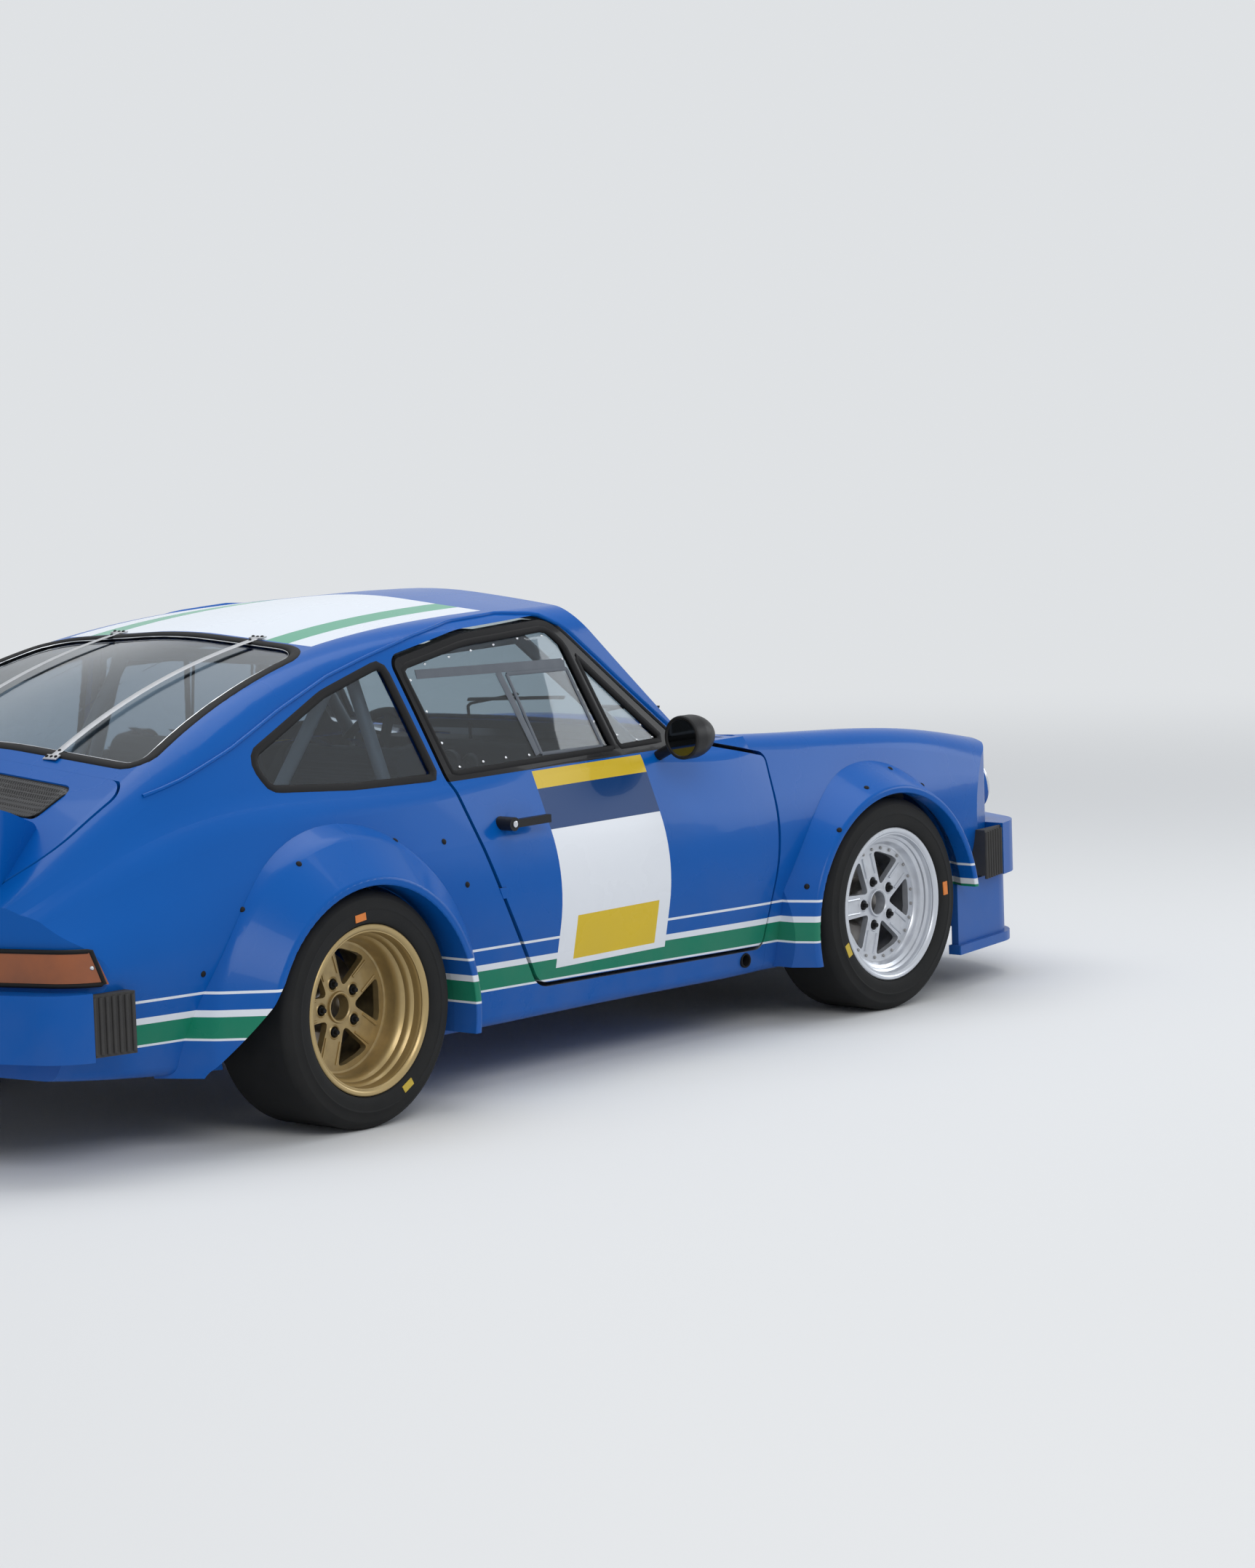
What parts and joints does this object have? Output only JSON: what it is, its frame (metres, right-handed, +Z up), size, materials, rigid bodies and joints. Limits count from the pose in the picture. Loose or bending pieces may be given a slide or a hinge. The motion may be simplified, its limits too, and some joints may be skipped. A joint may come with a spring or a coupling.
{
  "type": "rally car",
  "caption": "Two-door rear-engined coupe prepared for rallying, with wide bolt-on arches, opening doors and lids, steering and rolling wheels.",
  "frame": {"origin": "on the ground under the middle of the car's length and width", "axes": "+X forward towards the nose, +Y to the car's left, +Z up"},
  "size_m": [4.291, 1.828, 1.3154],
  "materials": {
    "blue_paint": "gloss",
    "engine_bay_paint": "satin",
    "cage_paint": "satin",
    "black_plastic": "matt",
    "black_rubber": "matt",
    "grille_metal": "satin",
    "clear_glass": "polished",
    "lamp_glass": "polished",
    "amber_lens": "gloss",
    "gold_rim": "satin",
    "silver_rim": "satin",
    "tyre_rubber": "matt",
    "disc_iron": "machined",
    "steel_parts": "satin",
    "engine_alloy": "cast",
    "exhaust_steel": "brushed",
    "seat_cloth": "woven",
    "wheel_suede": "matt"
  },
  "bodies": {
    "body": {"body_shell": "blue_paint", "front_tub": "engine_bay_paint", "front_wing_left": "blue_paint", "front_wing_right": "blue_paint", "nose_panel": "blue_paint", "quarter_windows": "clear_glass", "rear_window": "clear_glass", "windscreen": "clear_glass", "front_flares": "blue_paint", "rear_flares": "blue_paint", "front_bumper": "blue_paint", "rear_bumper": "blue_paint", "bumper_bellows": "black_rubber", "chin_spoiler": "blue_paint", "headlamps": "lamp_glass", "tail_lamps": "amber_lens", "front_suspension": "steel_parts", "rear_suspension": "steel_parts", "engine": "engine_alloy", "exhaust": "exhaust_steel", "seat_left": "seat_cloth", "seat_right": "seat_cloth", "roll_cage": "cage_paint", "dashboard": "black_plastic"},
    "bonnet": {"bonnet": "blue_paint"},
    "engine_lid": {"engine_lid": "blue_paint", "engine_grille": "grille_metal"},
    "door_left": {"door_left": "blue_paint", "door_glass_left": "clear_glass", "mirror_left": "black_plastic", "door_handle_left": "black_plastic"},
    "front_knuckle_left": {"front_knuckle_left": "steel_parts"},
    "wheel_front_left": {"rim_front_left": "silver_rim", "tyre_front_left": "tyre_rubber", "brake_disc_front_left": "disc_iron"},
    "wheel_rear_left": {"rim_rear_left": "gold_rim", "tyre_rear_left": "tyre_rubber", "brake_disc_rear_left": "disc_iron"},
    "door_right": {"door_right": "blue_paint", "door_glass_right": "clear_glass", "mirror_right": "black_plastic", "door_handle_right": "black_plastic"},
    "front_knuckle_right": {"front_knuckle_right": "steel_parts"},
    "wheel_front_right": {"rim_front_right": "silver_rim", "tyre_front_right": "tyre_rubber", "brake_disc_front_right": "disc_iron"},
    "wheel_rear_right": {"rim_rear_right": "gold_rim", "tyre_rear_right": "tyre_rubber", "brake_disc_rear_right": "disc_iron"},
    "steering_wheel": {"steering_wheel": "wheel_suede"}
  },
  "joints": [
    {"name": "door_left_hinge", "type": "hinge", "parent": "body", "child": "door_left", "pos_m": [0.752, 0.805, 0.5], "axis": [0, 0, -1], "range_deg": [0, 62]},
    {"name": "door_right_hinge", "type": "hinge", "parent": "body", "child": "door_right", "pos_m": [0.752, -0.805, 0.5], "axis": [0, 0, 1], "range_deg": [0, 62]},
    {"name": "bonnet_hinge", "type": "hinge", "parent": "body", "child": "bonnet", "pos_m": [0.776, 0, 0.868], "axis": [0, -1, 0], "range_deg": [0, 60]},
    {"name": "engine_lid_hinge", "type": "hinge", "parent": "body", "child": "engine_lid", "pos_m": [-1.608, 0, 1.002], "axis": [0, 1, 0], "range_deg": [0, 50]},
    {"name": "steer_left", "type": "hinge", "parent": "body", "child": "front_knuckle_left", "pos_m": [1.2155, 0.668, 0.228], "axis": [0, -0.2774, 0.9608], "range_deg": [-28, 28]},
    {"name": "wheel_front_left_spin", "type": "hinge", "parent": "front_knuckle_left", "child": "wheel_front_left", "pos_m": [1.2155, 0.72, 0.315], "axis": [0, 1, 0], "continuous": true},
    {"name": "wheel_rear_left_spin", "type": "hinge", "parent": "body", "child": "wheel_rear_left", "pos_m": [-1.0565, 0.72, 0.315], "axis": [0, 1, 0], "continuous": true},
    {"name": "steer_right", "type": "hinge", "parent": "body", "child": "front_knuckle_right", "pos_m": [1.2155, -0.668, 0.228], "axis": [0, 0.2774, 0.9608], "range_deg": [-28, 28]},
    {"name": "wheel_front_right_spin", "type": "hinge", "parent": "front_knuckle_right", "child": "wheel_front_right", "pos_m": [1.2155, -0.72, 0.315], "axis": [0, 1, 0], "continuous": true},
    {"name": "wheel_rear_right_spin", "type": "hinge", "parent": "body", "child": "wheel_rear_right", "pos_m": [-1.0565, -0.72, 0.315], "axis": [0, 1, 0], "continuous": true},
    {"name": "steering_wheel_turn", "type": "hinge", "parent": "body", "child": "steering_wheel", "pos_m": [0.3, 0.345, 0.76], "axis": [-0.9397, 0, 0.342], "range_deg": [-393, 393]}
  ],
  "couplings": [
    {"joint": "steer_right", "follows": "steer_left", "ratio": 1},
    {"joint": "steering_wheel_turn", "follows": "steer_left", "ratio": 14}
  ]
}
